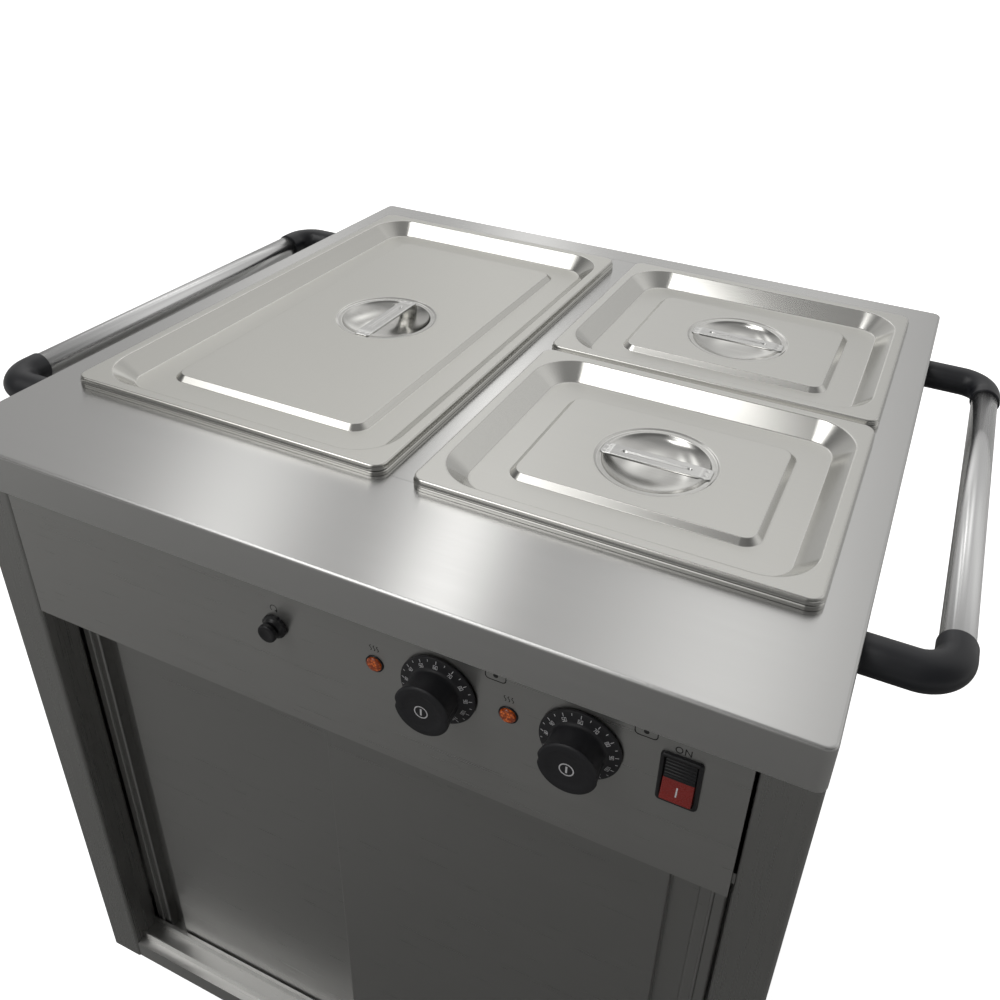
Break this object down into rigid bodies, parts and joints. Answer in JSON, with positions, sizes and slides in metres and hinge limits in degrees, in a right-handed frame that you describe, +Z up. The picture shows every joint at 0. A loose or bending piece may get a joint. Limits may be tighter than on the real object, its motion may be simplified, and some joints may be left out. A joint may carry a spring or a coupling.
{
  "type": "mobile hot cupboard",
  "caption": "Mobile steel hot cupboard with a dry-heat well for lidded food pans on top, sliding doors, tube handles and swivel castors.",
  "frame": {"origin": "on the floor, below the middle of the whole object's box", "axes": "+X to the right seen from the control side, +Y from the control side to the back, +Z up"},
  "size_m": [0.8898, 0.7185, 0.91],
  "materials": {
    "brushed_sheet": "brushed",
    "inner_sheet": "satin",
    "element_sheath": "satin, heat-darkened",
    "black_plastic": "satin",
    "amber_lens": "clear, faceted",
    "red_rocker": "satin",
    "terminal_grey": "matt",
    "polished_tube": "bright",
    "bright_fixings": "zinc-plated",
    "pressed_steel": "semi-bright",
    "grey_tyre": "matt"
  },
  "bodies": {
    "cabinet": {"worktop": "brushed_sheet", "well_tank": "brushed_sheet", "well_divider": "brushed_sheet", "pan_support_bar": "brushed_sheet", "well_element": "element_sheath", "left_side_panel": "brushed_sheet", "right_side_panel": "brushed_sheet", "back_panel": "brushed_sheet", "control_panel": "brushed_sheet", "base_tray": "brushed_sheet", "cupboard_lining": "inner_sheet", "shelf": "inner_sheet", "shelf_runners": "inner_sheet", "cupboard_element": "element_sheath", "element_cover": "inner_sheet", "top_track": "brushed_sheet", "bottom_track": "brushed_sheet", "well_thermostat": "black_plastic", "cupboard_thermostat": "black_plastic", "safety_cutout": "black_plastic", "reset_nut": "black_plastic", "indicator_lamps": "amber_lens", "switch_housing": "black_plastic", "terminal_block": "terminal_grey", "cable_gland": "black_plastic", "left_handle_tube": "polished_tube", "right_handle_tube": "polished_tube", "left_front_elbow": "black_plastic", "left_rear_elbow": "black_plastic", "right_front_elbow": "black_plastic", "right_rear_elbow": "black_plastic", "back_screws": "bright_fixings", "frame_bolts": "bright_fixings", "castor_plates": "bright_fixings"},
    "left_door": {"left_door": "brushed_sheet"},
    "right_door": {"right_door": "brushed_sheet"},
    "well_knob": {"well_knob": "black_plastic"},
    "cupboard_knob": {"cupboard_knob": "black_plastic"},
    "reset_button": {"reset_button": "black_plastic"},
    "switch_rocker": {"switch_rocker": "red_rocker"},
    "full_pan": {"full_pan": "pressed_steel"},
    "front_half_pan": {"front_half_pan": "pressed_steel"},
    "rear_half_pan": {"rear_half_pan": "pressed_steel"},
    "full_lid": {"full_lid": "pressed_steel", "full_lid_strap": "pressed_steel"},
    "front_half_lid": {"front_half_lid": "pressed_steel", "front_half_lid_strap": "pressed_steel"},
    "rear_half_lid": {"rear_half_lid": "pressed_steel", "rear_half_lid_strap": "pressed_steel"},
    "left_brake_pedal": {"left_brake_pedal": "bright_fixings"},
    "right_brake_pedal": {"right_brake_pedal": "bright_fixings"},
    "front_left_fork": {"front_left_fork": "bright_fixings"},
    "front_left_wheel": {"front_left_wheel": "grey_tyre"},
    "front_right_fork": {"front_right_fork": "bright_fixings"},
    "front_right_wheel": {"front_right_wheel": "grey_tyre"},
    "rear_left_fork": {"rear_left_fork": "bright_fixings"},
    "rear_left_wheel": {"rear_left_wheel": "grey_tyre"},
    "rear_right_fork": {"rear_right_fork": "bright_fixings"},
    "rear_right_wheel": {"rear_right_wheel": "grey_tyre"}
  },
  "joints": [
    {"name": "left_door_slide", "type": "slide", "parent": "cabinet", "child": "left_door", "axis": [1, 0, 0], "range_m": [0, 0.296]},
    {"name": "right_door_slide", "type": "slide", "parent": "cabinet", "child": "right_door", "axis": [-1, 0, 0], "range_m": [0, 0.296]},
    {"name": "well_knob_turn", "type": "hinge", "parent": "cabinet", "child": "well_knob", "pos_m": [0.096, -0.332, 0.8075], "axis": [0, 1, 0], "range_deg": [0, 300]},
    {"name": "cupboard_knob_turn", "type": "hinge", "parent": "cabinet", "child": "cupboard_knob", "pos_m": [0.2085, -0.332, 0.8075], "axis": [0, 1, 0], "range_deg": [0, 300]},
    {"name": "reset_button_press", "type": "slide", "parent": "cabinet", "child": "reset_button", "axis": [0, 1, 0], "range_m": [0, 0.002], "stiffness_N_per_m": 400, "springref_m": -0.003},
    {"name": "switch_rocker_tilt", "type": "hinge", "parent": "cabinet", "child": "switch_rocker", "pos_m": [0.28, -0.3265, 0.8075], "axis": [1, 0, 0], "range_deg": [0, 18]},
    {"name": "full_pan_lift", "type": "slide", "parent": "cabinet", "child": "full_pan", "axis": [0, 0, 1], "range_m": [0, 0.2]},
    {"name": "full_lid_lift", "type": "slide", "parent": "full_pan", "child": "full_lid", "axis": [0, 0, 1], "range_m": [0, 0.15]},
    {"name": "front_half_pan_lift", "type": "slide", "parent": "cabinet", "child": "front_half_pan", "axis": [0, 0, 1], "range_m": [0, 0.2]},
    {"name": "front_half_lid_lift", "type": "slide", "parent": "front_half_pan", "child": "front_half_lid", "axis": [0, 0, 1], "range_m": [0, 0.15]},
    {"name": "rear_half_pan_lift", "type": "slide", "parent": "cabinet", "child": "rear_half_pan", "axis": [0, 0, 1], "range_m": [0, 0.2]},
    {"name": "rear_half_lid_lift", "type": "slide", "parent": "rear_half_pan", "child": "rear_half_lid", "axis": [0, 0, 1], "range_m": [0, 0.15]},
    {"name": "front_left_swivel", "type": "hinge", "parent": "cabinet", "child": "front_left_fork", "pos_m": [-0.29, -0.232, 0.147], "axis": [0, 0, 1], "continuous": true},
    {"name": "front_left_roll", "type": "hinge", "parent": "front_left_fork", "child": "front_left_wheel", "pos_m": [-0.29, -0.196, 0.0625], "axis": [1, 0, 0], "continuous": true},
    {"name": "front_right_swivel", "type": "hinge", "parent": "cabinet", "child": "front_right_fork", "pos_m": [0.29, -0.232, 0.147], "axis": [0, 0, 1], "continuous": true},
    {"name": "front_right_roll", "type": "hinge", "parent": "front_right_fork", "child": "front_right_wheel", "pos_m": [0.29, -0.196, 0.0625], "axis": [1, 0, 0], "continuous": true},
    {"name": "rear_left_swivel", "type": "hinge", "parent": "cabinet", "child": "rear_left_fork", "pos_m": [-0.29, 0.25, 0.147], "axis": [0, 0, 1], "continuous": true},
    {"name": "rear_left_roll", "type": "hinge", "parent": "rear_left_fork", "child": "rear_left_wheel", "pos_m": [-0.29, 0.286, 0.0625], "axis": [1, 0, 0], "continuous": true},
    {"name": "rear_right_swivel", "type": "hinge", "parent": "cabinet", "child": "rear_right_fork", "pos_m": [0.29, 0.25, 0.147], "axis": [0, 0, 1], "continuous": true},
    {"name": "rear_right_roll", "type": "hinge", "parent": "rear_right_fork", "child": "rear_right_wheel", "pos_m": [0.29, 0.286, 0.0625], "axis": [1, 0, 0], "continuous": true},
    {"name": "left_brake_press", "type": "hinge", "parent": "front_left_fork", "child": "left_brake_pedal", "pos_m": [-0.29, -0.193, 0.134], "axis": [-1, 0, 0], "range_deg": [0, 15]},
    {"name": "right_brake_press", "type": "hinge", "parent": "front_right_fork", "child": "right_brake_pedal", "pos_m": [0.29, -0.193, 0.134], "axis": [-1, 0, 0], "range_deg": [0, 15]}
  ]
}
